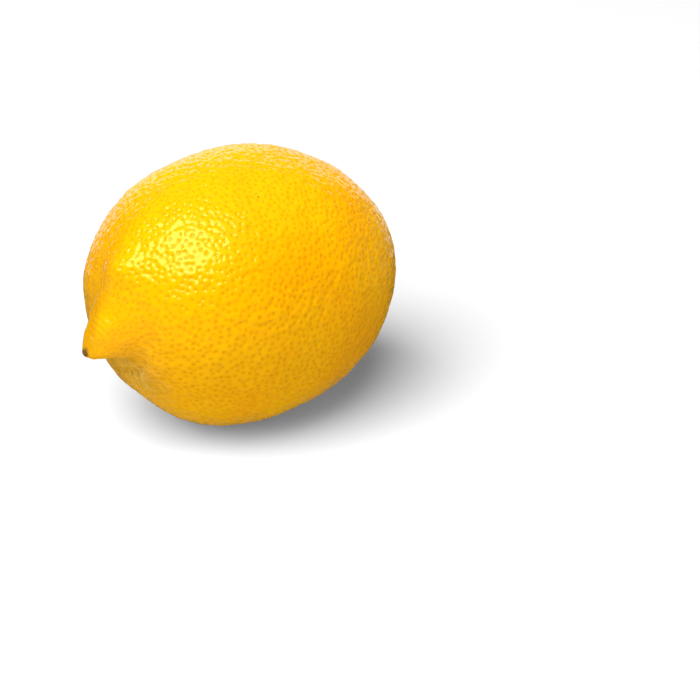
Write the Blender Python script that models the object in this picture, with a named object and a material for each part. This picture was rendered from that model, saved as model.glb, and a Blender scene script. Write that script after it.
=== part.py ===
"""A whole lemon that lies on its side, in metres, +Z up.

The fruit lies along X. Its blossom end, with the nipple, points to -X, and its stem end to +X. It rests
on a small flat spot. The origin is on that surface, under the middle of the lemon's box.
"""

import math

import bmesh
import bpy
import numpy as np
from mathutils import Matrix, Vector

MM = 0.001

# The body, measured from its waist, where it is widest.
WAIST_RADIUS = 30.0 * MM
BLOSSOM_LENGTH = 34.5 * MM
STEM_LENGTH = 38.3 * MM
BLOSSOM_POWER = 2.45  # how blunt the blossom shoulder is: 2 would be an ellipse

# The nipple, a round-tipped cone that widens fast at first and then no more. Angles round the X axis
# run from +Y through +Z. It widens most at SLOPE_SIDE, on top.
NIPPLE_LENGTH = 6.0 * MM
NIPPLE_TIP_RADIUS = 1.6 * MM
NIPPLE_SLOPE = 1.15  # growth of its radius for each unit of length, at the tip
SLOPE_CHANGE = 0.63
SLOPE_SIDE = math.radians(111)
NIPPLE_ROOT = 10.1 * MM  # the length over which that growth dies away

# A fillet joins the nipple to the shoulder, widest at FILL_SIDE and nowhere narrower than LEAST_FILL.
# It ends before the waist.
FILL_WIDTH = 4.7 * MM
FILL_CHANGE = 12.2 * MM
FILL_SIDE = math.radians(180)
LEAST_FILL = 10.5 * MM
FILL_START = -22.0 * MM
FILL_END = -4.0 * MM

# The furrow that the nipple overhangs, part of the way round its foot.
FURROW_DEPTH = 0.9 * MM
FURROW_RADIUS = 9.5 * MM
FURROW_WIDTH = 1.5 * MM
FURROW_SIDE = math.radians(238)
FURROW_SPAN = math.radians(48)

# The blossom end droops and leans, and the nipple more so: where each bend starts, and metres sideways
# and down for each squared metre past there.
BENDS = (
    (20.0 * MM, 5.4, 3.6),
    (32.1 * MM, 40.0, 56.5),
)

# The stem end is pressed in round the button, with folds that run out from it.
DIMPLE_DEPTH = 1.6 * MM
DIMPLE_SPREAD = 4.6 * MM
FOLD_COUNT = 7
FOLD_DEPTH = 0.4 * MM
FOLD_REACH = 6.5 * MM  # distance from the axis where the folds are deepest

# Where the peel swells out or sinks in: place from the middle of the waist, height, spread.
SWELLS = (
    (Vector((-27, 20, 6)) * MM, 0.60 * MM, 6.0 * MM),
    (Vector((-17, 19, 20)) * MM, 0.30 * MM, 5.0 * MM),
    (Vector((4, 12, 27)) * MM, 0.20 * MM, 7.0 * MM),
    (Vector((23, 1, 24)) * MM, -0.55 * MM, 5.0 * MM),
    (Vector((29, -8, 17)) * MM, -0.55 * MM, 5.0 * MM),
    (Vector((-27, 5, -20)) * MM, -0.60 * MM, 7.0 * MM),
    (Vector((-34.3, 0.3, 13.6)) * MM, 1.84 * MM, 3.6 * MM),
    (Vector((-39.3, 0.4, 1.5)) * MM, 0.85 * MM, 2.1 * MM),
)

# The flat spot that the fruit rests on, as the height of the cap that it cuts off the waist.
FLAT_DEPTH = 0.6 * MM
CUTTER_SIZE = 40.0 * MM

# The woody button: a five-lobed calyx with the clipped stub of the stem.
GAP = 0.3 * MM
CALYX_RADIUS = 3.4 * MM
CALYX_THICKNESS = 0.9 * MM
LOBE_COUNT = 5
LOBE_SHARE = 0.16  # how far the lobes reach past the mean radius, and the notches fall short of it
STUB_BASE_RADIUS = 1.8 * MM
STUB_TOP_RADIUS = 1.5 * MM
STUB_LENGTH = 2.6 * MM  # from the calyx's underside to the clipped end

# How finely the surfaces are cut. The fruit's rings lie closer together where it is slender: their
# spacing is in proportion to its radius plus RING_EVENNESS.
FRUIT_SEGMENTS = 60
FRUIT_RINGS = 54
RING_EVENNESS = 6.0 * MM
PROFILE_STEPS = 800
CALYX_SEGMENTS = 40
CALYX_RINGS = 12
STUB_SEGMENTS = 28
SHARP_ANGLE = math.radians(40)

# Linear colours and roughness of the two materials.
PEEL_COLOUR = (0.98, 0.58, 0.006, 1.0)
PEEL_ROUGHNESS = 0.38
WOOD_COLOUR = (0.16, 0.13, 0.045, 1.0)
WOOD_ROUGHNESS = 0.8

NIPPLE_REACH = BLOSSOM_LENGTH + NIPPLE_LENGTH
BUTTON_REACH = STEM_LENGTH - DIMPLE_DEPTH + GAP + STUB_LENGTH
WAIST_PLACE = Vector(((NIPPLE_REACH - BUTTON_REACH) / 2, 0.0, WAIST_RADIUS - FLAT_DEPTH))


def clear_scene():
    for obj in list(bpy.data.objects):
        bpy.data.objects.remove(obj, do_unlink=True)


def smooth_max(first, second, width):
    """The larger of two numbers, with the crease where they meet filled over this width."""
    overlap = max(width - abs(first - second), 0.0)
    return max(first, second) + overlap * overlap / (4 * width)


def body_radius(x):
    """The body's radius at x from the waist, which is below zero past the body's ends."""
    if x < 0:
        share = 1 - abs(x / BLOSSOM_LENGTH) ** BLOSSOM_POWER
    else:
        share = 1 - (x / STEM_LENGTH) ** 2
    return WAIST_RADIUS * math.copysign(math.sqrt(abs(share)), share)


def nipple_radius(x, around):
    """The nipple's radius at x from the waist, towards this angle."""
    from_tip = max(x + NIPPLE_REACH, 0.0)
    inside_tip = 1 - min(from_tip / NIPPLE_TIP_RADIUS, 1.0)
    slope = NIPPLE_SLOPE + SLOPE_CHANGE * math.cos(around - SLOPE_SIDE)
    widened = slope * NIPPLE_ROOT * math.tanh(from_tip / NIPPLE_ROOT)
    return NIPPLE_TIP_RADIUS * math.sqrt(1 - inside_tip**2) + widened


def fruit_radius(x, around):
    """The fruit's radius at x from the waist, towards this angle."""
    body = body_radius(x)
    if x >= FILL_END:
        return max(body, 0.0)
    fill = max(FILL_WIDTH + FILL_CHANGE * math.cos(around - FILL_SIDE), LEAST_FILL)
    joined = smooth_max(body, nipple_radius(x, around), fill)
    share = min((x - FILL_END) / (FILL_START - FILL_END), 1.0)
    return body + (joined - body) * share * share * (3 - 2 * share)


def ring_places():
    """The x of each ring from the waist, from the nipple's tip to the stem end."""
    length = STEM_LENGTH + NIPPLE_REACH
    steps = [math.pi * step / PROFILE_STEPS for step in range(PROFILE_STEPS + 1)]
    places = [length * (1 - math.cos(step)) / 2 - NIPPLE_REACH for step in steps]
    radii = [fruit_radius(x, FILL_SIDE) for x in places]
    travelled = [0.0]
    for step in range(PROFILE_STEPS):
        run = math.hypot(places[step + 1] - places[step], radii[step + 1] - radii[step])
        travelled.append(travelled[-1] + run / (radii[step] + RING_EVENNESS))
    wanted = [travelled[-1] * ring / FRUIT_RINGS for ring in range(FRUIT_RINGS + 1)]
    return np.interp(wanted, travelled, places)


def dimple(radius):
    """How deep the stem end is pressed in at this distance from the axis."""
    return DIMPLE_DEPTH * math.exp(-((radius / DIMPLE_SPREAD) ** 2))


def folds(radius, around):
    """How deep the folds that run out from the stem lie, at this distance and angle round the axis."""
    reach = (radius / FOLD_REACH) ** 2
    wave = 0.5 - 0.5 * math.cos(FOLD_COUNT * around)
    return FOLD_DEPTH * wave * reach * math.exp(1 - reach)


def furrow(radius, around):
    """How deep the furrow at the nipple's foot lies, at this distance and angle round the axis."""
    aside = math.remainder(around - FURROW_SIDE, math.tau) / FURROW_SPAN
    across = (radius - FURROW_RADIUS) / FURROW_WIDTH
    return FURROW_DEPTH * math.exp(-aside * aside - across * across)


def bent(point):
    """The point after the blossom end has drooped and leaned."""
    moved = point.copy()
    for start, sideways, down in BENDS:
        past = max(-point.x - start, 0.0)
        moved += Vector((0.0, sideways, -down)) * past * past
    return moved


def swollen(point):
    """The point moved out or in by every swell near it."""
    moved = point.copy()
    for place, height, spread in SWELLS:
        near = math.exp(-(point - place).length_squared / (2 * spread * spread))
        moved += place.normalized() * height * near
    return moved


def fruit_point(x, around):
    """The point of the peel that the profile has at x from the waist, towards this angle."""
    radius = fruit_radius(x, around)
    if x > 0:
        x -= dimple(radius) + folds(radius, around)
    else:
        x += furrow(radius, around)
    return swollen(bent(Vector((x, radius * math.cos(around), radius * math.sin(around)))))


def seat_height(radius):
    """How far the dimple's floor has risen, at this distance from the axis, above its middle."""
    fall = STEM_LENGTH * (1 - math.sqrt(1 - (radius / WAIST_RADIUS) ** 2))
    return DIMPLE_DEPTH - dimple(radius) - fall


def calyx_point(polar, around):
    """A point of the calyx, whose underside follows the dimple and whose edge has lobes."""
    share = math.sin(polar)
    radius = share * CALYX_RADIUS * (1 + LOBE_SHARE * share * math.cos(LOBE_COUNT * around))
    rise = CALYX_THICKNESS * max(math.cos(polar), 0.0)
    return Vector((seat_height(radius) + rise, radius * math.cos(around), radius * math.sin(around)))


def smooth_object(name, mesh, parent, collection):
    """A smooth-shaded object for this mesh, hung from the parent."""
    mesh.shade_smooth()
    mesh.set_sharp_from_angle(angle=SHARP_ANGLE)
    obj = bpy.data.objects.new(name, mesh)
    obj.parent = parent
    collection.objects.link(obj)
    return obj


def shaped_sphere(name, segments, rings, point_of):
    """A UV sphere with its first pole towards +X, whose points are moved to point_of(polar, around)."""
    mesh = bpy.data.meshes.new(name)
    bm = bmesh.new()
    bmesh.ops.create_uvsphere(bm, u_segments=segments, v_segments=rings, radius=1.0)
    for vertex in bm.verts:
        polar = math.acos(max(-1.0, min(1.0, vertex.co.z)))
        vertex.co = point_of(polar, math.atan2(vertex.co.y, vertex.co.x))
    bm.to_mesh(mesh)
    bm.free()
    return mesh


def add_boolean(obj, helper, operation):
    """Cuts the helper from the object or joins it on, and hides the helper itself."""
    modifier = obj.modifiers.new(helper.name, "BOOLEAN")
    modifier.operation = operation
    modifier.solver = "EXACT"
    modifier.object = helper
    helper.hide_render = True
    helper.display_type = "WIRE"


def box_below(name, top, parent, collection):
    """A cutter whose upper face lies at this height in the parent's frame."""
    mesh = bpy.data.meshes.new(name)
    bm = bmesh.new()
    bmesh.ops.create_cube(bm, size=CUTTER_SIZE)
    bm.to_mesh(mesh)
    bm.free()
    box = bpy.data.objects.new(name, mesh)
    box.parent = parent
    box.location = (0.0, 0.0, top - CUTTER_SIZE / 2)
    collection.objects.link(box)
    return box


def stub_along_x(name, parent, collection):
    """The clipped stub of the stem, a short taper that stands on the middle of the calyx."""
    start = CALYX_THICKNESS / 2
    mesh = bpy.data.meshes.new(name)
    bm = bmesh.new()
    bmesh.ops.create_cone(
        bm,
        cap_ends=True,
        segments=STUB_SEGMENTS,
        radius1=STUB_BASE_RADIUS,
        radius2=STUB_TOP_RADIUS,
        depth=STUB_LENGTH - start,
        matrix=Matrix.Rotation(math.radians(90), 4, "Y"),
    )
    bm.to_mesh(mesh)
    bm.free()
    stub = bpy.data.objects.new(name, mesh)
    stub.parent = parent
    stub.location = ((STUB_LENGTH + start) / 2, 0.0, 0.0)
    collection.objects.link(stub)
    return stub


def principled(name, colour, roughness):
    material = bpy.data.materials.new(name)
    material.use_nodes = True
    shader = material.node_tree.nodes["Principled BSDF"]
    shader.inputs["Base Color"].default_value = colour
    shader.inputs["Roughness"].default_value = roughness
    return material


def add_fruit(waist, parts, helpers):
    """The fruit, one solid with its flat spot cut at the bottom."""
    places = ring_places()

    def place_on_ring(polar, around):
        ring = FRUIT_RINGS - round(polar / math.pi * FRUIT_RINGS)
        return fruit_point(places[ring], around)

    mesh = shaped_sphere("fruit", FRUIT_SEGMENTS, FRUIT_RINGS, place_on_ring)
    fruit = smooth_object("fruit", mesh, waist, parts)
    fruit.data.materials.append(principled("lemon_peel", PEEL_COLOUR, PEEL_ROUGHNESS))
    ground = box_below("flat_spot_cutter", -waist.location.z, waist, helpers)
    add_boolean(fruit, ground, "DIFFERENCE")


def add_stem_button(waist, parts, helpers):
    """The calyx in its dimple, with the stub of the stem joined on."""
    mesh = shaped_sphere("stem_button", CALYX_SEGMENTS, CALYX_RINGS, calyx_point)
    button = smooth_object("stem_button", mesh, waist, parts)
    button.location = (STEM_LENGTH - DIMPLE_DEPTH + GAP, 0.0, 0.0)
    button.data.materials.append(principled("dry_stem", WOOD_COLOUR, WOOD_ROUGHNESS))
    add_boolean(button, stub_along_x("stem_stub", button, helpers), "UNION")


def new_collection(name):
    collection = bpy.data.collections.new(name)
    bpy.context.scene.collection.children.link(collection)
    return collection


def main():
    clear_scene()
    parts = new_collection("lemon")
    helpers = new_collection("helpers")
    waist = bpy.data.objects.new("waist", None)
    waist.location = WAIST_PLACE
    parts.objects.link(waist)
    add_fruit(waist, parts, helpers)
    add_stem_button(waist, parts, helpers)


main()
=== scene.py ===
"""The looks of a whole lemon that lies on its side: its pitted peel, its woody stem button and a studio.

Everything is in metres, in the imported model's frame: the lemon lies along X with its nipple towards -X,
+Z is up, and it rests on z = 0. The outline repeats the one that the CAD solid was made with.
"""

import math
import typing

import bpy
import numpy as np
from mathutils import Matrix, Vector, geometry, kdtree


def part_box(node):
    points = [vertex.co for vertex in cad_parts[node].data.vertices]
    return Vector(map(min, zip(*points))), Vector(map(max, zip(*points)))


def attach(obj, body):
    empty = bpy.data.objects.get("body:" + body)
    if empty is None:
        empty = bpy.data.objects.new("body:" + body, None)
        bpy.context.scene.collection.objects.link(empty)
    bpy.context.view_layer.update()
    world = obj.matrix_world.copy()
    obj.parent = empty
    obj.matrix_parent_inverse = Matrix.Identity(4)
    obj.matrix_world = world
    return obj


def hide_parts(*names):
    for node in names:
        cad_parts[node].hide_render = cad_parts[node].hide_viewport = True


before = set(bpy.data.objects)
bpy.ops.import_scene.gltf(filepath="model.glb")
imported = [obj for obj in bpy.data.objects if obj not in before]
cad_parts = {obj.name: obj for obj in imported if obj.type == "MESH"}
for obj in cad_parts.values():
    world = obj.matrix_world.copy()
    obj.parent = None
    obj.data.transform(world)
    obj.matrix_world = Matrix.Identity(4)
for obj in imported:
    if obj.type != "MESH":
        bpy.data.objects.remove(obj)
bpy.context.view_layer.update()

MM = 0.001
SEED = 7

# The fruit's outline, as in the CAD solid.
WAIST_RADIUS = 30.0 * MM
BLOSSOM_LENGTH = 34.5 * MM
STEM_LENGTH = 38.3 * MM
BLOSSOM_POWER = 2.45
NIPPLE_LENGTH = 6.0 * MM
NIPPLE_TIP_RADIUS = 1.6 * MM
NIPPLE_SLOPE = 1.15
SLOPE_CHANGE = 0.63
SLOPE_SIDE = math.radians(111)
NIPPLE_ROOT = 10.1 * MM
FILL_WIDTH = 4.7 * MM
FILL_CHANGE = 12.2 * MM
FILL_SIDE = math.radians(180)
LEAST_FILL = 10.5 * MM
FILL_START = -22.0 * MM
FILL_END = -4.0 * MM
FURROW_DEPTH = 0.9 * MM
FURROW_RADIUS = 9.5 * MM
FURROW_WIDTH = 1.5 * MM
FURROW_SIDE = math.radians(238)
FURROW_SPAN = math.radians(48)
BENDS = (
    (20.0 * MM, 5.4, 3.6),
    (32.1 * MM, 40.0, 56.5),
)
DIMPLE_DEPTH = 1.6 * MM
DIMPLE_SPREAD = 4.6 * MM
FOLD_COUNT = 7
FOLD_DEPTH = 0.4 * MM
FOLD_REACH = 6.5 * MM
FLAT_DEPTH = 0.6 * MM
GAP = 0.3 * MM
NIPPLE_REACH = BLOSSOM_LENGTH + NIPPLE_LENGTH

# Swells of the peel, as in the CAD solid: place from the waist, height and spread, in millimetres.
SWELLS = (
    ((-27, 20, 6), 0.60, 6.0),
    ((-17, 19, 20), 0.30, 5.0),
    ((4, 12, 27), 0.20, 7.0),
    ((23, 1, 24), -0.55, 5.0),
    ((29, -8, 17), -0.55, 5.0),
    ((-27, 5, -20), -0.60, 7.0),
    ((-34.3, 0.3, 13.6), 1.84, 3.6),
    ((-39.3, 0.4, 1.5), 0.85, 2.1),
)

# Marks of the peel near the nipple: places from the waist, in millimetres. Fine wrinkles cross the
# nipple's ridge, a pale scuff lies on it, and below the furrow pale streaks lie on painted shade, a darker
# olive for the nipple's overhang.
WRINKLES_AT, WRINKLES_REACH = (-38.7, 1.9, 1.6), 2.3
WRINKLE_HEIGHT = 0.10 * MM
WRINKLE_LENGTH = 1.25 * MM
WRINKLE_SLANT = 900.0  # radians that their wave gains for each metre towards +Y
SCUFF_AT, SCUFF_REACH = (-39.4, 3.0, -1.7), 0.9
# Painted shade: where the darker olive under the nipple's overhang is centred and how far it spreads.
FURROW_SHADE_AT, FURROW_SHADE_REACH = (-32.2, -3.2, -10.4), 4.2
STREAK_WIDTH = 0.5 * MM
STREAK_LENGTH = 3.5 * MM
STREAK_GIRTH = 12.0 * MM  # the distance from the axis where the streaks have that width
# Painted shade makes the peel darker amber on the nipple's left flank, and the peel is green round the
# stem. Each pair is where a mark starts to show and where it shows in full: y, x, distance from the tip,
# distance from the stem.
FLANK_ASIDE = (0.5 * MM, 5.0 * MM)
FLANK_ALONG = (-12.0 * MM, -32.0 * MM)
FLANK_NEAR_TIP = (18.0 * MM, 10.0 * MM)
GREEN_NEAR_STEM = (10.0 * MM, 3.0 * MM)
# Dark specks: places from the waist and radius, in millimetres.
SPECKS = (
    ((-7.0, -13.9, 26.2), 0.28),
    ((8.0, -27.0, 9.5), 0.20),
    ((16.0, 20.0, 15.0), 0.30),
    ((-12.0, 26.0, 6.0), 0.24),
)

# The oil glands: pits in the peel, their smallest spacing, radius and depth. Towards the nipple they lie
# closer together, and towards both ends they are shallower. Each pair of lengths along the peel is where
# such a change starts and where it is over. The tips of both ends and the wrinkled peel have no pits.
PIT_SPACING = 1.14 * MM
NIPPLE_SPACING = 0.68  # share of that spacing next to the nipple
SPACING_CHANGE = (7.0 * MM, 19.0 * MM)
NIPPLE_DEPTH, STEM_DEPTH = 0.40, 0.35  # shares of their depth at the two ends
DEPTH_CHANGE = (4.0 * MM, 12.0 * MM)
BARE_TIP, BARE_STEM = 3.0 * MM, 3.2 * MM
MOST_WRINKLED = 0.45  # how wrinkled the peel may be, from 0 to 1, where there still are pits
PIT_TRIES = 80000
PIT_RADIUS = (0.54 * MM, 0.74 * MM)
PIT_DEPTH = (0.17 * MM, 0.30 * MM)
PIT_RIM = 0.02 * MM  # what stays of the peel between one pit and the next
# Each pit is a middle point and two rings: share of its radius, points, share of its depth, tint.
PIT_RINGS = ((0.52, 5, 0.60, 0.80), (1.0, 6, -0.22, 0.12))
PIT_REACH = 0.26 * MM  # how far past its rim a pit keeps other points away

# The stem button, as in the CAD solid: a lobed calyx with the clipped stub of the stem.
CALYX_RADIUS = 3.4 * MM
LOBE_COUNT = 5
LOBE_SHARE = 0.16
# Its outline from the middle of the cut down to the calyx's edge: distance from the axis and height
# above the dimple's floor, in millimetres.
BUTTON_OUTLINE = (
    (0.0, 2.42), (0.25, 2.44), (0.35, 2.52), (0.9, 2.56), (1.3, 2.58), (1.47, 2.52), (1.52, 2.3),
    (1.56, 1.9), (1.62, 1.4), (1.74, 1.12), (2.0, 0.98), (2.4, 0.90), (2.9, 0.72), (3.25, 0.45),
    (3.4, 0.2), (3.38, 0.02), (3.2, 0.0), (2.0, 0.0), (0.0, 0.0),
)
BUTTON_ROWS = 110
BUTTON_SEGMENTS = 160
STUB_GIRTH = 1.66 * MM
BARK_INSIDE = 1.42 * MM  # where the cut face of the stub meets its bark
FIBRE_SHARE = 0.010  # how far the fibres stand out from the stub, as a share of its radius
VEIN_HEIGHT = 0.11 * MM
CURL_HEIGHT = 0.10 * MM  # how far the tips of the lobes have curled up
GRAIN_HEIGHT = 0.03 * MM
LUMP_HEIGHT = 0.05 * MM

# Points of the peel between the pits. They lie closer together from FINE_FROM to FINE_TO of the nipple's
# tip, where there are 1 + FINE_SHARE times as many.
FILL_POINTS = 67000
FINE_FROM = 17.0 * MM
FINE_TO = 9.0 * MM
FINE_SHARE = 8.0
FILL_FROM_TIP, FILL_FROM_STEM = 0.1 * MM, 0.9 * MM
PROFILE_STEPS = 6000
POLE_RADIUS = 0.12 * MM
STEM_RIM = 0.6 * MM  # how far from the stem's middle the rim lies that one face closes
STEM_RIM_POINTS = 16
GOLDEN_ANGLE = math.pi * (3 - math.sqrt(5))

# Low lumps all over the peel: height, how many waves make them, and the longest and shortest wave.
LUMPS = (
    (0.055 * MM, 40, 4.0 * MM, 1.7 * MM),
    (0.08 * MM, 30, 20.0 * MM, 7.0 * MM),
)
FLAT_FADE = (0.05 * MM, 1.5 * MM)  # heights above the flat spot where the relief starts and is whole
NORMAL_STEP = 0.05 * MM
LEAST_GIRTH = 0.3 * MM  # keeps that step's angle small at the poles
UV_TURN = 0.985  # share of the map's width for one turn, which leaves room for the faces on the seam


# ---------------------------------------------------------------------------------------------------
# The peel's surface
# ---------------------------------------------------------------------------------------------------


def smooth_max(first, second, width):
    overlap = np.maximum(width - np.abs(first - second), 0)
    return np.maximum(first, second) + overlap**2 / (4 * width)


def smooth_step(low, high, value):
    share = np.clip((value - low) / (high - low), 0, 1)
    return share * share * (3 - 2 * share)


def fruit_radius(x, around):
    """The fruit's radius at x from the waist, towards this angle round the X axis."""
    blossom = 1 - np.abs(x / BLOSSOM_LENGTH) ** BLOSSOM_POWER
    stem = 1 - (x / STEM_LENGTH) ** 2
    share = np.where(x < 0, blossom, stem)
    body = WAIST_RADIUS * np.sign(share) * np.sqrt(np.abs(share))
    from_tip = np.maximum(x + NIPPLE_REACH, 0)
    inside_tip = 1 - np.minimum(from_tip / NIPPLE_TIP_RADIUS, 1)
    slope = NIPPLE_SLOPE + SLOPE_CHANGE * np.cos(around - SLOPE_SIDE)
    nipple = NIPPLE_TIP_RADIUS * np.sqrt(1 - inside_tip**2)
    nipple = nipple + slope * NIPPLE_ROOT * np.tanh(from_tip / NIPPLE_ROOT)
    fill = np.maximum(FILL_WIDTH + FILL_CHANGE * np.cos(around - FILL_SIDE), LEAST_FILL)
    joined = smooth_max(body, nipple, fill)
    filled = body + (joined - body) * smooth_step(FILL_END, FILL_START, x)
    return np.where(x < FILL_END, filled, np.maximum(body, 0))


def furrow(radius, around):
    """How deep the furrow at the nipple's foot lies."""
    turn = (around - FURROW_SIDE + math.pi) % math.tau - math.pi
    across = (radius - FURROW_RADIUS) / FURROW_WIDTH
    return FURROW_DEPTH * np.exp(-((turn / FURROW_SPAN) ** 2) - across**2)


def stem_press(radius, around):
    """How deep the stem end is pressed in: a dimple, with folds that run out from it."""
    reach = (radius / FOLD_REACH) ** 2
    wave = 0.5 - 0.5 * np.cos(FOLD_COUNT * around)
    folds = FOLD_DEPTH * wave * reach * np.exp(1 - reach)
    return DIMPLE_DEPTH * np.exp(-((radius / DIMPLE_SPREAD) ** 2)) + folds


def peel_points(x, around):
    """Points of the peel without its pits, from the waist, one row each."""
    radius = fruit_radius(x, around)
    along = np.where(x > 0, x - stem_press(radius, around), x + furrow(radius, around))
    points = np.stack([along, radius * np.cos(around), radius * np.sin(around)], axis=-1)
    for start, sideways, down in BENDS:
        past = np.maximum(-along - start, 0) ** 2
        points += past[:, None] * np.array([0, sideways, -down])
    moved = points.copy()
    for place, height, spread in SWELLS:
        place = np.array(place) * MM
        share = np.exp(-((points - place) ** 2).sum(-1) / (2 * (spread * MM) ** 2))
        moved += share[:, None] * height * MM * place / np.linalg.norm(place)
    moved[:, 2] = smooth_max(moved[:, 2], FLAT_DEPTH - WAIST_RADIUS, 0.1 * MM)
    return moved


class Profile:
    """The outline of the fruit as tables over the length s along it from the nipple's tip: x from the
    waist, radius, the area up to there, the same area with more weight where points lie closer, and
    the stretch of a map to the plane that keeps angles."""

    def __init__(self):
        turn = np.linspace(0, math.pi, PROFILE_STEPS)
        self.x = (STEM_LENGTH + NIPPLE_REACH) * (1 - np.cos(turn)) / 2 - NIPPLE_REACH
        self.radius = fruit_radius(self.x, FILL_SIDE - math.pi / 2)
        run = np.hypot(np.diff(self.x), np.diff(self.radius))
        self.s = np.concatenate([[0], np.cumsum(run)])
        middle = (self.radius[1:] + self.radius[:-1]) / 2
        s_middle = (self.s[1:] + self.s[:-1]) / 2
        fine = 1 + FINE_SHARE * (1 - smooth_step(FINE_TO, FINE_FROM, s_middle))
        self.area = np.concatenate([[0], np.cumsum(middle * run)])
        self.weight = np.concatenate([[0], np.cumsum(middle * run * fine)])
        self.stretch = np.concatenate([[0], np.cumsum(run / np.maximum(middle, POLE_RADIUS))])
        self.length = self.s[-1]

    def at(self, s, name):
        return np.interp(s, self.s, getattr(self, name))

    def s_where(self, name, value):
        return np.interp(value, getattr(self, name), self.s)


def revolved(profile, s, around):
    """Points on the plain turned shape, for measuring distances between points of the peel."""
    radius = profile.at(s, "radius")
    return np.stack([profile.at(s, "x"), radius * np.cos(around), radius * np.sin(around)], axis=-1)


# ---------------------------------------------------------------------------------------------------
# The oil glands
# ---------------------------------------------------------------------------------------------------


def near(points, place, reach):
    """From 0 to 1, how near the points are to a place that is given in millimetres."""
    away = (points - np.array(place) * MM) / (reach * MM)
    return np.exp(-(away**2).sum(-1) / 2)


def spaced_out(points, spacing):
    """Which of these points to keep, so that no two are nearer than their spacing."""
    cells = np.floor(points / spacing.max()).astype(int)
    taken = {}
    keep = []
    steps = [(i, j, k) for i in (-1, 0, 1) for j in (-1, 0, 1) for k in (-1, 0, 1)]
    rows = zip(cells.tolist(), points.tolist(), spacing.tolist())
    for index, ((cx, cy, cz), point, gap) in enumerate(rows):
        others = (other for i, j, k in steps for other in taken.get((cx + i, cy + j, cz + k), ()))
        if all(math.dist(point, other) > gap for other in others):
            taken.setdefault((cx, cy, cz), []).append(point)
            keep.append(index)
    return np.array(keep)


def grown(start, change, value):
    """From start to 1, as the value goes through this change."""
    return start + (1 - start) * smooth_step(*change, value)


def gland_places(profile, rng):
    """The pits' middles as (s, around), spaced out, in random order."""
    s = profile.s_where("area", rng.uniform(0, profile.area[-1], PIT_TRIES))
    around = rng.uniform(0, math.tau, PIT_TRIES)
    wrinkled = near(peel_points(profile.at(s, "x"), around), WRINKLES_AT, WRINKLES_REACH)
    inside = (s > BARE_TIP) & (s < profile.length - BARE_STEM) & (wrinkled <= MOST_WRINKLED)
    s, around = s[inside], around[inside]
    spacing = PIT_SPACING * grown(NIPPLE_SPACING, SPACING_CHANGE, s)
    kept = spaced_out(revolved(profile, s, around), spacing)
    return s[kept], around[kept]


def gland_pits(profile, rng):
    """The pits' middles as (s, around), with their radius and depth, and the tree that holds them."""
    s, around = gland_places(profile, rng)
    places = revolved(profile, s, around)
    tree = kdtree.KDTree(len(places))
    for index, place in enumerate(places):
        tree.insert(place, index)
    tree.balance()
    nearest = np.array([tree.find_n(place, 2)[1][2] for place in places])
    radius = np.minimum(rng.uniform(*PIT_RADIUS, len(s)), nearest / 2 - PIT_RIM / 2)
    depth = rng.uniform(*PIT_DEPTH, len(s)) * radius / PIT_RADIUS[1]
    depth *= grown(NIPPLE_DEPTH, DEPTH_CHANGE, s)
    depth *= grown(STEM_DEPTH, DEPTH_CHANGE, profile.length - s)
    return s, around, radius, depth, tree


def pit_points(profile, s, around, radius, depth, rng):
    """The points of every pit: (s, around, how deep, tint), from its middle outwards."""
    rows = [(s, around, depth, np.ones(len(s)))]
    girth = profile.at(s, "radius")
    for share, count, deep, tint in PIT_RINGS:
        first = rng.uniform(0, math.tau, len(s))
        for k in range(count):
            angle = first + math.tau * k / count
            rows.append(
                (
                    s + share * radius * np.cos(angle),
                    around + share * radius * np.sin(angle) / girth,
                    deep * depth,
                    np.full(len(s), tint),
                )
            )
    return [np.concatenate(column) for column in zip(*rows)]


def points_between(profile, radius, tree):
    """Points spread evenly over the peel, wherever no pit is near."""
    index = np.arange(FILL_POINTS)
    s = profile.s_where("weight", (index + 0.5) / FILL_POINTS * profile.weight[-1])
    around = (index * GOLDEN_ANGLE) % math.tau
    nearest = [tree.find_n(place, 3) for place in revolved(profile, s, around)]
    clear = [all(gap > radius[pit] + PIT_REACH for _, pit, gap in found) for found in nearest]
    clear = np.array(clear) & (s > FILL_FROM_TIP) & (s < profile.length - FILL_FROM_STEM)
    return s[clear], around[clear]


# ---------------------------------------------------------------------------------------------------
# The peel's mesh
# ---------------------------------------------------------------------------------------------------


def unrolled(profile, s, around):
    """The points on a plane, on a map that keeps angles, with the nipple's tip in the middle."""
    reach = np.exp(profile.at(s, "stretch") - profile.stretch[PROFILE_STEPS // 2])
    return np.stack([reach * np.cos(around), reach * np.sin(around)], axis=-1)


def ripples(points, rng, count, longest, shortest):
    """A smooth random field from -1 to 1 or so: waves of these lengths in random directions."""
    total = np.zeros(len(points))
    for _ in range(count):
        direction = rng.normal(size=3)
        direction /= np.linalg.norm(direction)
        length = rng.uniform(shortest, longest)
        total += np.cos(points @ direction * math.tau / length + rng.uniform(0, math.tau))
    return total / math.sqrt(count / 2)


def outward(profile, s, around):
    """The peel's unit normals at these points."""
    turn = NORMAL_STEP / np.maximum(profile.at(s, "radius"), LEAST_GIRTH)
    x = profile.at(s, "x")
    ahead = profile.at(np.minimum(s + NORMAL_STEP, profile.length), "x")
    behind = profile.at(np.maximum(s - NORMAL_STEP, 0), "x")
    along = peel_points(ahead, around) - peel_points(behind, around)
    across = peel_points(x, around + turn) - peel_points(x, around - turn)
    normal = np.cross(across, along)
    normal /= np.linalg.norm(normal, axis=1, keepdims=True) + 1e-12
    return normal


def tip_distance(points):
    """How far each point is from the last one, which is the nipple's tip."""
    return np.linalg.norm(points - points[-1], axis=1)


def wrinkles(points):
    """How far the short wrinkles across the nipple's ridge stand out."""
    wave = np.cos(tip_distance(points) * math.tau / WRINKLE_LENGTH + WRINKLE_SLANT * points[:, 1])
    return WRINKLE_HEIGHT * wave * near(points, WRINKLES_AT, WRINKLES_REACH)


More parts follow.
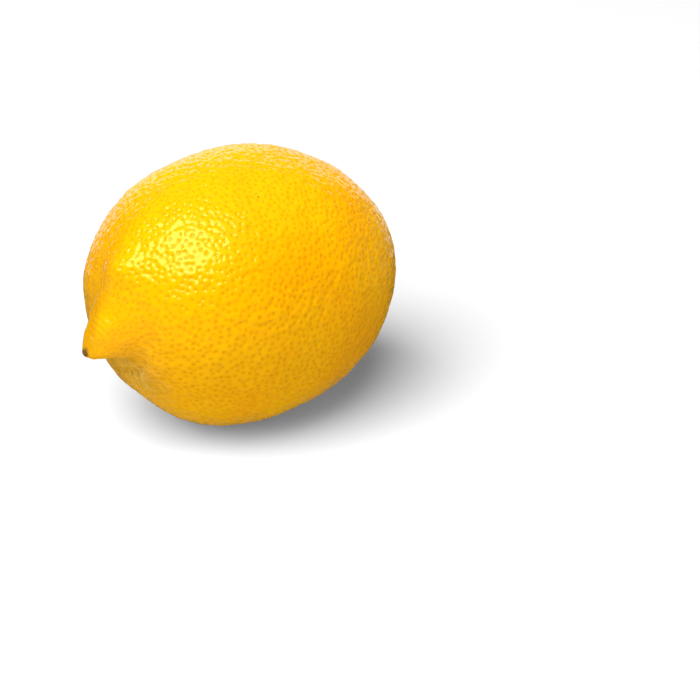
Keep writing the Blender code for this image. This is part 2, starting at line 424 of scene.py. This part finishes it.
def relief(points, deep, rng):
    """How far the peel stands out at these points: lumps, wrinkles and pits, but none on the flat spot."""
    lumps = sum(height * ripples(points, rng, *waves) for height, *waves in LUMPS)
    above = points[:, 2] + WAIST_RADIUS - FLAT_DEPTH
    return (lumps + wrinkles(points) - deep) * smooth_step(*FLAT_FADE, above)


def peel_marks(points, s, around, length):
    """Where each mark and each patch of painted shade shows on the peel, from 0 to 1, and the places that
    its patterns follow.
    """
    left = smooth_step(*FLANK_ASIDE, points[:, 1]) * smooth_step(*FLANK_ALONG, points[:, 0])
    return {
        # Painted shade on the nipple's left flank, stronger towards the tip.
        "flank_shade": left * (0.5 + 0.5 * smooth_step(*FLANK_NEAR_TIP, tip_distance(points))),
        "scuff": near(points, SCUFF_AT, SCUFF_REACH),
        # Painted shade below the furrow, under the nipple's overhang.
        "furrow_shade": near(points, FURROW_SHADE_AT, FURROW_SHADE_REACH),
        "green": smooth_step(*GREEN_NEAR_STEM, length - s),
        "from_tip": s,
        "around": around % math.tau,
    }


def add_attributes(mesh, fields):
    for name, values in fields.items():
        mesh.attributes.new(name, "FLOAT", "POINT").data.foreach_set("value", values.astype(np.float32))


def peel_layout(profile, rng):
    """Every point of the peel, as (s, around, how deep, tint): first the pits' points and those between
    them, then the rim at the stem, and last the nipple's tip."""
    pit_s, pit_around, radius, depth, tree = gland_pits(profile, rng)
    s, around, deep, tint = pit_points(profile, pit_s, pit_around, radius, depth, rng)
    fill_s, fill_around = points_between(profile, radius, tree)
    rim_s = np.full(STEM_RIM_POINTS, profile.length - STEM_RIM)
    rim_around = np.arange(STEM_RIM_POINTS) * math.tau / STEM_RIM_POINTS
    level = np.zeros(len(fill_s) + STEM_RIM_POINTS + 1)
    s = np.concatenate([s, fill_s, rim_s, [0.0]])
    around = np.concatenate([around, fill_around, rim_around, [0.0]])
    return s, around, np.concatenate([deep, level]), np.concatenate([tint, level])


def peel_faces(profile, s, around):
    """The triangles between the peel's points, and the one face that closes the rim at the stem."""
    flat = unrolled(profile, s, around)
    flat[-1] = (0, 0)
    result = geometry.delaunay_2d_cdt([Vector(point) for point in flat.tolist()], [], [], 0, 0.0)
    origin = [found[0] for found in result[3]]
    faces = [tuple(origin[corner] for corner in face) for face in result[2]]
    rim_end = len(s) - 1
    return faces + [tuple(range(rim_end - STEM_RIM_POINTS, rim_end))]


def peel_mesh(waist):
    """The peel as a closed mesh, with its pits, marks and painted shade as point attributes."""
    rng = np.random.default_rng(SEED)
    profile = Profile()
    s, around, deep, tint = peel_layout(profile, rng)
    points = peel_points(profile.at(s, "x"), around)
    normal = outward(profile, s, around)
    normal[-1] = (-1, 0, 0)
    raised = points + normal * relief(points, deep, rng)[:, None]
    mesh = bpy.data.meshes.new("peel")
    mesh.from_pydata((raised + np.array(waist)).tolist(), [], peel_faces(profile, s, around))
    add_attributes(mesh, {"pit": tint, **peel_marks(points, s, around, profile.length)})
    add_peel_uv(mesh, around, s / profile.length)
    mesh.shade_smooth()
    return mesh


def add_peel_uv(mesh, around, along):
    """A map that unrolls the peel: round the waist across, from the nipple's tip to the stem up."""
    corners = np.empty(len(mesh.loops), np.int32)
    mesh.loops.foreach_get("vertex_index", corners)
    starts = np.empty(len(mesh.polygons), np.int32)
    mesh.polygons.foreach_get("loop_start", starts)
    across = (around[corners] % math.tau) / math.tau
    polygon = np.searchsorted(starts, np.arange(len(corners)), side="right") - 1
    highest = np.maximum.reduceat(across, starts)
    lowest = np.minimum.reduceat(across, starts)
    wraps = (highest - lowest > 0.5)[polygon]
    across = np.where(wraps & (across < 0.5), across + 1, across) * UV_TURN
    uv = mesh.uv_layers.new(name="OFBake")
    uv.data.foreach_set("uv", np.stack([across, along[corners]], axis=-1).astype(np.float32).ravel())


# ---------------------------------------------------------------------------------------------------
# The stem button's mesh
# ---------------------------------------------------------------------------------------------------


def seat_height(radius):
    """How far the dimple's floor has risen above its middle, at this distance from the axis."""
    fall = STEM_LENGTH * (1 - np.sqrt(1 - (radius / WAIST_RADIUS) ** 2))
    return DIMPLE_DEPTH * (1 - np.exp(-((radius / DIMPLE_SPREAD) ** 2))) - fall


def fibres(around, rng):
    """A ring of fine ridges at random angles, about 1 high."""
    total = np.zeros_like(around)
    for count in range(7, 40, 2):
        total = total + np.cos(count * around + rng.uniform(0, math.tau)) * rng.uniform(0.3, 1)
    return total


def button_rings(rng):
    """The button's points from the waist, ring by ring from the cut face down and under the calyx."""
    outline = np.array(BUTTON_OUTLINE) * MM
    run = np.concatenate([[0], np.cumsum(np.hypot(*np.diff(outline, axis=0).T))])
    step = np.linspace(0, run[-1], BUTTON_ROWS)[1:-1]
    radius = np.interp(step, run, outline[:, 0])[:, None]
    height = np.interp(step, run, outline[:, 1])[:, None]
    around = np.arange(BUTTON_SEGMENTS)[None, :] * math.tau / BUTTON_SEGMENTS
    ridges = fibres(around, rng)
    lobed = smooth_step(STUB_GIRTH, CALYX_RADIUS, radius)
    on_stub = 1 - smooth_step(STUB_GIRTH, STUB_GIRTH + 0.3 * MM, radius)
    lobe = np.cos(LOBE_COUNT * around)
    wide = radius * (1 + LOBE_SHARE * lobed * lobe)
    wide = wide * (1 + FIBRE_SHARE * ridges * on_stub * smooth_step(0.2 * MM, 1.2 * MM, radius))
    top = smooth_step(0.05 * MM, 0.35 * MM, height)
    veins = VEIN_HEIGHT * lobed * np.cos(3 * LOBE_COUNT * around)
    curl = CURL_HEIGHT * lobed**3 * (1 + lobe)
    height = height + top * (veins + curl + GRAIN_HEIGHT * ridges * lobed)
    x = seat_height(wide) + height + STEM_LENGTH - DIMPLE_DEPTH + GAP
    rings = np.stack([x, wide * np.cos(around), wide * np.sin(around)], axis=-1).reshape(-1, 3)
    lumps = LUMP_HEIGHT * ripples(rings, rng, 30, 1.6 * MM, 0.5 * MM)
    rings += (top.repeat(BUTTON_SEGMENTS) * lumps)[:, None]
    return rings, outline


def button_mesh(waist):
    """The button as one closed surface, with ridges on its lobes and fibres on the stub."""
    rings, outline = button_rings(np.random.default_rng(SEED + 1))
    base = STEM_LENGTH - DIMPLE_DEPTH + GAP
    ends = [[base + outline[0, 1], 0, 0], [base, 0, 0]]
    points = np.vstack([rings, ends])
    rows = len(rings) // BUTTON_SEGMENTS
    index = np.arange(len(rings)).reshape(rows, BUTTON_SEGMENTS)
    following = np.roll(index, -1, 1)
    quads = np.stack([index[:-1], index[1:], following[1:], following[:-1]], axis=-1).reshape(-1, 4)
    faces = [tuple(face) for face in quads.tolist()]
    first, last = len(rings), len(rings) + 1
    faces += [(first, a, b) for a, b in zip(index[0].tolist(), following[0].tolist())]
    faces += [(last, b, a) for a, b in zip(index[-1].tolist(), following[-1].tolist())]
    mesh = bpy.data.meshes.new("button")
    mesh.from_pydata((points + np.array(waist)).tolist(), [], faces)
    add_attributes(mesh, {"from_axis": np.hypot(points[:, 1], points[:, 2])})
    mesh.shade_smooth()
    return mesh


# ---------------------------------------------------------------------------------------------------
# Materials
# ---------------------------------------------------------------------------------------------------


def srgb(red, green, blue):
    """A linear colour from 0 to 255 display values."""
    def linear(value):
        value /= 255
        return value / 12.92 if value <= 0.04045 else ((value + 0.055) / 1.055) ** 2.4
    return (linear(red), linear(green), linear(blue), 1.0)


# Linear colours of the peel, of the marks on it and of the painted shade on it.
PEEL_YELLOW = (0.93, 0.46, 0.0006, 1)
PEEL_ORANGE = (0.90, 0.36, 0.0005, 1)
GLAND_ORANGE = (0.80, 0.27, 0.0004, 1)
# Painted shade on the nipple's left flank.
FLANK_SHADE_AMBER = (0.68, 0.32, 0.0004, 1)
STEM_GREEN = (0.50, 0.44, 0.010, 1)
# Painted shade below the furrow, under the nipple's overhang.
FURROW_SHADE_OLIVE = (0.50, 0.26, 0.012, 1)
STREAK_PALE = (0.86, 0.55, 0.13, 1)
SCUFF_PALE = (0.93, 0.60, 0.16, 1)
SCAR_BROWNS = (srgb(70, 50, 20), srgb(150, 110, 50))
SPECK_BROWN = srgb(120, 70, 20)
GLOSS_YELLOW = (1.0, 1.0, 0.36, 1)
# Colours of the stem button, with the darkest and the palest of what is mottled.
CALYX_OLIVES = (srgb(74, 62, 26), srgb(158, 142, 78))
LOBE_TIP_BROWN = srgb(58, 40, 18)
BARK_BROWNS = (srgb(66, 50, 24), srgb(128, 104, 56))
CUT_WOODS = (srgb(150, 124, 72), srgb(205, 184, 132))
PITH_BROWN = srgb(92, 66, 30)

# How fine each noise is: its features for each metre.
PATCH_SCALE = 45.0
GLOSS_SCALE = 900.0
BROKEN_SCALE = 1500.0
PEEL_GRAIN_SCALE = 2600.0
WOOD_SCALE = 1400.0
WOOD_GRAIN_SCALE = 2500.0

# The brown scar at the nipple's tip, and the duller peel round it: distances from the tip.
SCAR_EDGE = (1.2 * MM, 2.1 * MM)
SCAR_RAGGED = 1.2 * MM
DRY_EDGE = (10.0 * MM, 20.0 * MM)
DRY_ROUGHNESS = 0.07  # what it adds to the roughness
PEEL_ROUGHNESS = (0.10, 0.15)
# Where the button's colours change: distances from its axis.
PITH_EDGE = (0.25 * MM, 0.45 * MM)
CUT_EDGE = (BARK_INSIDE - 0.1 * MM, BARK_INSIDE)
BARK_EDGE = (1.7 * MM, 1.95 * MM)
LOBE_TIP_EDGE = (3.2 * MM, 3.9 * MM)
LOBE_TIP_RAGGED = 0.8 * MM


class Nodes:
    """A material's node tree, with short ways to add to it."""

    def __init__(self, name):
        self.material = bpy.data.materials.new(name)
        self.material.use_nodes = True
        self.tree = self.material.node_tree
        self.shader = self.tree.nodes["Principled BSDF"]
        self.place = self.add("ShaderNodeTexCoord").outputs["Object"]

    def add(self, kind, **settings):
        node = self.tree.nodes.new(kind)
        for name, value in settings.items():
            setattr(node, name, value)
        return node

    def link(self, source, target):
        self.tree.links.new(source, target)

    def fill(self, socket, value):
        if isinstance(value, bpy.types.NodeSocket):
            self.link(value, socket)
        else:
            socket.default_value = value

    def noise(self, scale, detail=2.0, roughness=0.5, place=None):
        node = self.add("ShaderNodeTexNoise")
        self.link(place or self.place, node.inputs["Vector"])
        node.inputs["Scale"].default_value = scale
        node.inputs["Detail"].default_value = detail
        node.inputs["Roughness"].default_value = roughness
        return node.outputs["Fac"]

    def attribute(self, name):
        return self.add("ShaderNodeAttribute", attribute_name=name).outputs["Fac"]

    def ramp(self, value, low, high, out_low=0.0, out_high=1.0):
        """The value from low to high, spread over out_low to out_high and kept inside them."""
        node = self.add("ShaderNodeMapRange", interpolation_type="SMOOTHSTEP")
        self.fill(node.inputs["Value"], value)
        node.inputs["From Min"].default_value = low
        node.inputs["From Max"].default_value = high
        node.inputs["To Min"].default_value = out_low
        node.inputs["To Max"].default_value = out_high
        return node.outputs["Result"]

    def math(self, operation, first, second=0.0):
        node = self.add("ShaderNodeMath", operation=operation)
        self.fill(node.inputs[0], first)
        self.fill(node.inputs[1], second)
        return node.outputs["Value"]

    def scaled(self, value, share):
        return self.math("MULTIPLY", value, share)

    def inside(self, value, edge):
        """1 up to where the edge starts, and 0 from where it ends."""
        return self.ramp(value, *edge, 1.0, 0.0)

    def mix(self, share, first, second):
        node = self.add("ShaderNodeMix", data_type="RGBA")
        self.fill(node.inputs["Factor"], share)
        self.fill(node.inputs["A"], first)
        self.fill(node.inputs["B"], second)
        return node.outputs["Result"]

    def speck(self, place, radius):
        """1 at this place on the surface and 0 further off than the radius."""
        node = self.add("ShaderNodeVectorMath", operation="DISTANCE")
        self.link(self.place, node.inputs[0])
        node.inputs[1].default_value = place
        return self.inside(node.outputs["Value"], (radius * 0.6, radius))

    def bump(self, height, strength, distance):
        node = self.add("ShaderNodeBump")
        node.inputs["Strength"].default_value = strength
        node.inputs["Distance"].default_value = distance
        self.link(height, node.inputs["Height"])
        self.link(node.outputs["Normal"], self.shader.inputs["Normal"])


def streaks(nodes):
    """Narrow streaks that run away from the nipple, from 0 to 1."""
    node = nodes.add("ShaderNodeCombineXYZ")
    across = nodes.math("MULTIPLY", nodes.attribute("around"), STREAK_GIRTH / STREAK_WIDTH)
    along = nodes.math("DIVIDE", nodes.attribute("from_tip"), STREAK_LENGTH)
    nodes.link(across, node.inputs["X"])
    nodes.link(along, node.inputs["Y"])
    return nodes.ramp(nodes.noise(1.0, 1.0, 0.5, node.outputs["Vector"]), 0.46, 0.60)


def base_colour_and_flank_shade(nodes):
    """Yellow with more orange patches and glands, painted shade in darker amber on the nipple's left
    flank, and green round the stem.
    """
    patches = nodes.ramp(nodes.noise(PATCH_SCALE, 3.0), 0.40, 0.68)
    colour = nodes.mix(nodes.scaled(patches, 0.5), PEEL_YELLOW, PEEL_ORANGE)
    colour = nodes.mix(nodes.scaled(nodes.attribute("pit"), 0.4), colour, GLAND_ORANGE)
    # Painted shade: the nipple's left flank is mixed towards a darker amber.
    colour = nodes.mix(nodes.attribute("flank_shade"), colour, FLANK_SHADE_AMBER)
    return nodes.mix(nodes.scaled(nodes.attribute("green"), 0.4), colour, STEM_GREEN)


def add_furrow_shade_and_streaks(nodes, colour):
    """Painted shade below the furrow: darker olive peel under the nipple's overhang, with pale streaks on
    it.
    """
    furrow_shade = nodes.attribute("furrow_shade")
    # Painted shade: the peel below the furrow is mixed towards a darker olive.
    colour = nodes.mix(nodes.scaled(furrow_shade, 0.55), colour, FURROW_SHADE_OLIVE)
    pale = nodes.math("MULTIPLY", streaks(nodes), nodes.scaled(furrow_shade, 0.6))
    return nodes.mix(pale, colour, STREAK_PALE)


def add_nipple_marks(nodes, colour):
    """The pale, broken scuff on the nipple and the ragged brown scar at its tip."""
    broken = nodes.noise(BROKEN_SCALE, 2.0)
    scuff = nodes.math("ADD", nodes.scaled(nodes.attribute("scuff"), 0.45), broken)
    colour = nodes.mix(nodes.scaled(nodes.ramp(scuff, 0.92, 1.02), 0.5), colour, SCUFF_PALE)
    from_tip = nodes.math("ADD", nodes.attribute("from_tip"), nodes.scaled(broken, SCAR_RAGGED))
    return nodes.mix(nodes.inside(from_tip, SCAR_EDGE), colour, nodes.mix(broken, *SCAR_BROWNS))


def add_specks(nodes, colour, waist):
    for place, radius in SPECKS:
        speck = nodes.speck(waist + Vector(place) * MM, radius * MM)
        colour = nodes.mix(speck, colour, SPECK_BROWN)
    return colour


def peel_material(waist):
    """Satin peel with a yellow gloss and a fine grain, duller near the nipple."""
    nodes = Nodes("lemon_peel")
    shader = nodes.shader.inputs
    colour = add_nipple_marks(nodes, add_furrow_shade_and_streaks(nodes, base_colour_and_flank_shade(nodes)))
    nodes.link(add_specks(nodes, colour, waist), shader["Base Color"])
    rough = nodes.ramp(nodes.noise(GLOSS_SCALE, 3.0), 0.3, 0.7, *PEEL_ROUGHNESS)
    dry = nodes.scaled(nodes.inside(nodes.attribute("from_tip"), DRY_EDGE), DRY_ROUGHNESS)
    nodes.link(nodes.math("ADD", rough, dry), shader["Roughness"])
    shader["Specular IOR Level"].default_value = 0.56
    shader["Specular Tint"].default_value = GLOSS_YELLOW
    shader["Subsurface Weight"].default_value = 0.2
    shader["Subsurface Radius"].default_value = (1.0, 0.45, 0.1)
    shader["Subsurface Scale"].default_value = 1.2 * MM
    nodes.bump(nodes.noise(PEEL_GRAIN_SCALE, 3.0, 0.6), 0.15, 0.04 * MM)
    return nodes.material


def stem_material():
    """Dry wood: an olive-brown calyx with dark tips, brown bark and a pale cut face with dark pith."""
    nodes = Nodes("dry_stem")
    from_axis = nodes.attribute("from_axis")
    fine = nodes.noise(WOOD_SCALE, 4.0, 0.65)
    calyx = nodes.mix(nodes.ramp(fine, 0.35, 0.65), *CALYX_OLIVES)
    ragged = nodes.math("ADD", from_axis, nodes.scaled(fine, LOBE_TIP_RAGGED))
    colour = nodes.mix(nodes.ramp(ragged, *LOBE_TIP_EDGE), calyx, LOBE_TIP_BROWN)
    colour = nodes.mix(nodes.inside(from_axis, BARK_EDGE), colour, nodes.mix(fine, *BARK_BROWNS))
    cut = nodes.mix(nodes.ramp(fine, 0.3, 0.7), *CUT_WOODS)
    cut = nodes.mix(nodes.inside(from_axis, PITH_EDGE), cut, PITH_BROWN)
    colour = nodes.mix(nodes.inside(from_axis, CUT_EDGE), colour, cut)
    nodes.link(colour, nodes.shader.inputs["Base Color"])
    nodes.shader.inputs["Roughness"].default_value = 0.8
    nodes.bump(nodes.noise(WOOD_GRAIN_SCALE, 4.0, 0.7), 0.6, 0.1 * MM)
    return nodes.material


# ---------------------------------------------------------------------------------------------------
# Pieces
# ---------------------------------------------------------------------------------------------------


def add_piece(name, mesh, material, node):
    """A piece that stands for a CAD node. It throws no coloured light back on the table."""
    piece = bpy.data.objects.new(name, mesh)
    bpy.context.scene.collection.objects.link(piece)
    mesh.materials.append(material)
    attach(piece, "root")
    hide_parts(node)
    piece.visible_diffuse = False
    return piece


# ---------------------------------------------------------------------------------------------------
# Studio
# ---------------------------------------------------------------------------------------------------

CAMERA_AZIMUTH = math.radians(-45)
CAMERA_ELEVATION = math.radians(25)
CAMERA_DISTANCE = 0.55
CAMERA_LENS = 128.2
# Where the camera stands beside and below the line through the fruit's middle.
CAMERA_RIGHT = 0.0242
CAMERA_DOWN = 0.01476
CAMERA_NEAR = 0.01
FLOOR_REACH = 4.0
FLOOR_DROP = 0.05 * MM  # keeps the floor just clear of the flat spot
FLOOR_GREY = (0.80, 0.80, 0.80, 1)
AMBIENT = 0.03
LIGHT_DISTANCE = 2.0
WHITE = (1.0, 1.0, 1.0)
WARM_WHITE = (1.0, 0.8, 0.4)


class Softbox(typing.NamedTuple):
    """A soft light: its direction from the fruit, how many degrees wide and high it is from there, and its
    brightness. It shows in the gloss of what it lights if it is mirrored."""

    name: str
    direction: tuple
    width: float
    height: float
    radiance: float
    mirrored: bool = True
    colour: tuple = WHITE


LEMON_LIGHTS = (
    Softbox("key", (-0.53, -0.015, 0.848), 40, 34, 6.6),
    Softbox("sky", (-0.26, -0.28, 0.925), 46, 46, 3.3, mirrored=False),
    Softbox("top", (0.30, 0.03, 0.95), 74, 74, 0.9, mirrored=False),
    Softbox("backdrop", (0.67, 0.74, 0.04), 60, 42, 1.0),
    Softbox("side", (1.0, 0.0, -0.05), 36, 30, 0.13),
    Softbox("table_sheen", (0.30, 0.75, -0.59), 70, 44, 0.22, colour=WARM_WHITE),
)
FLOOR_LIGHTS = (
    Softbox("table_top", (-0.44, -0.07, 0.895), 50, 44, 2.1),
    Softbox("table_front", (-0.62, -0.12, 0.78), 60, 60, 5.0),
)


def add_camera(middle):
    a, e = CAMERA_AZIMUTH, CAMERA_ELEVATION
    back = Vector((math.sin(a) * math.cos(e), -math.cos(a) * math.cos(e), math.sin(e)))
    right = Vector((math.cos(a), math.sin(a), 0))
    up = back.cross(right)
    camera = bpy.data.objects.new("camera", bpy.data.cameras.new("camera"))
    camera.data.lens = CAMERA_LENS
    camera.data.clip_start = CAMERA_NEAR
    camera.location = middle + back * CAMERA_DISTANCE + right * CAMERA_RIGHT - up * CAMERA_DOWN
    camera.rotation_mode = "QUATERNION"
    camera.rotation_quaternion = (-back).to_track_quat("-Z", "Y")
    bpy.context.scene.collection.objects.link(camera)
    bpy.context.scene.camera = camera


def add_softbox(softbox, target, lit):
    """A light for this softbox that is turned to the target and shines on one collection alone."""
    direction = Vector(softbox.direction).normalized()
    light = bpy.data.lights.new(softbox.name, "AREA")
    light.shape = "RECTANGLE"
    light.size = 2 * LIGHT_DISTANCE * math.tan(math.radians(softbox.width / 2))
    light.size_y = 2 * LIGHT_DISTANCE * math.tan(math.radians(softbox.height / 2))
    light.energy = softbox.radiance * math.pi * light.size * light.size_y
    light.color = softbox.colour
    lamp = bpy.data.objects.new(softbox.name, light)
    lamp.location = target + direction * LIGHT_DISTANCE
    lamp.rotation_mode = "QUATERNION"
    lamp.rotation_quaternion = (-direction).to_track_quat("-Z", "Y")
    lamp.light_linking.receiver_collection = lit
    lamp.visible_glossy = softbox.mirrored
    bpy.context.scene.collection.objects.link(lamp)


def add_world():
    """White where the camera sees it, and a dimmer white for the light that it gives."""
    world = bpy.data.worlds.new("studio")
    world.use_nodes = True
    tree = world.node_tree
    sky = tree.nodes["Background"]
    seen = tree.nodes.new("ShaderNodeLightPath").outputs["Is Camera Ray"]
    strength = tree.nodes.new("ShaderNodeMix")
    tree.links.new(seen, strength.inputs["Factor"])
    strength.inputs["A"].default_value = AMBIENT
    strength.inputs["B"].default_value = 1.0
    tree.links.new(strength.outputs["Result"], sky.inputs["Strength"])
    sky.inputs["Color"].default_value = (1, 1, 1, 1)
    bpy.context.scene.world = world


def add_floor():
    """A white table. The collection that holds it lets lights shine on it alone."""
    mesh = bpy.data.meshes.new("floor")
    corners = [(-FLOOR_REACH, -FLOOR_REACH, 0), (FLOOR_REACH, -FLOOR_REACH, 0)]
    corners += [(FLOOR_REACH, FLOOR_REACH, 0), (-FLOOR_REACH, FLOOR_REACH, 0)]
    mesh.from_pydata(corners, [], [(0, 1, 2, 3)])
    floor = bpy.data.objects.new("floor", mesh)
    floor.location.z = -FLOOR_DROP
    nodes = Nodes("white_table")
    nodes.shader.inputs["Base Color"].default_value = FLOOR_GREY
    nodes.shader.inputs["Roughness"].default_value = 1.0
    nodes.shader.inputs["Specular IOR Level"].default_value = 0.0
    mesh.materials.append(nodes.material)
    bpy.context.scene.collection.objects.link(floor)
    floor.visible_glossy = False
    floor_only = bpy.data.collections.new("floor_only")
    floor_only.objects.link(floor)
    return floor_only


def add_studio(middle, lemon_only):
    bpy.context.scene.view_settings.view_transform = "Standard"
    add_camera(middle)
    add_world()
    floor_only = add_floor()
    for softbox in LEMON_LIGHTS:
        add_softbox(softbox, middle, lemon_only)
    for softbox in FLOOR_LIGHTS:
        add_softbox(softbox, middle, floor_only)


def main():
    fruit_low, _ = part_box("fruit")
    button_low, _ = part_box("stem_button")
    waist_x = button_low.x - (STEM_LENGTH - DIMPLE_DEPTH + GAP)
    waist = Vector((waist_x, 0.0, fruit_low.z + WAIST_RADIUS - FLAT_DEPTH))
    lemon_only = bpy.data.collections.new("lemon_only")
    add_studio(waist, lemon_only)
    peel = add_piece("peel", peel_mesh(waist), peel_material(waist), "fruit")
    button = add_piece("button", button_mesh(waist), stem_material(), "stem_button")
    lemon_only.objects.link(peel)
    lemon_only.objects.link(button)


main()
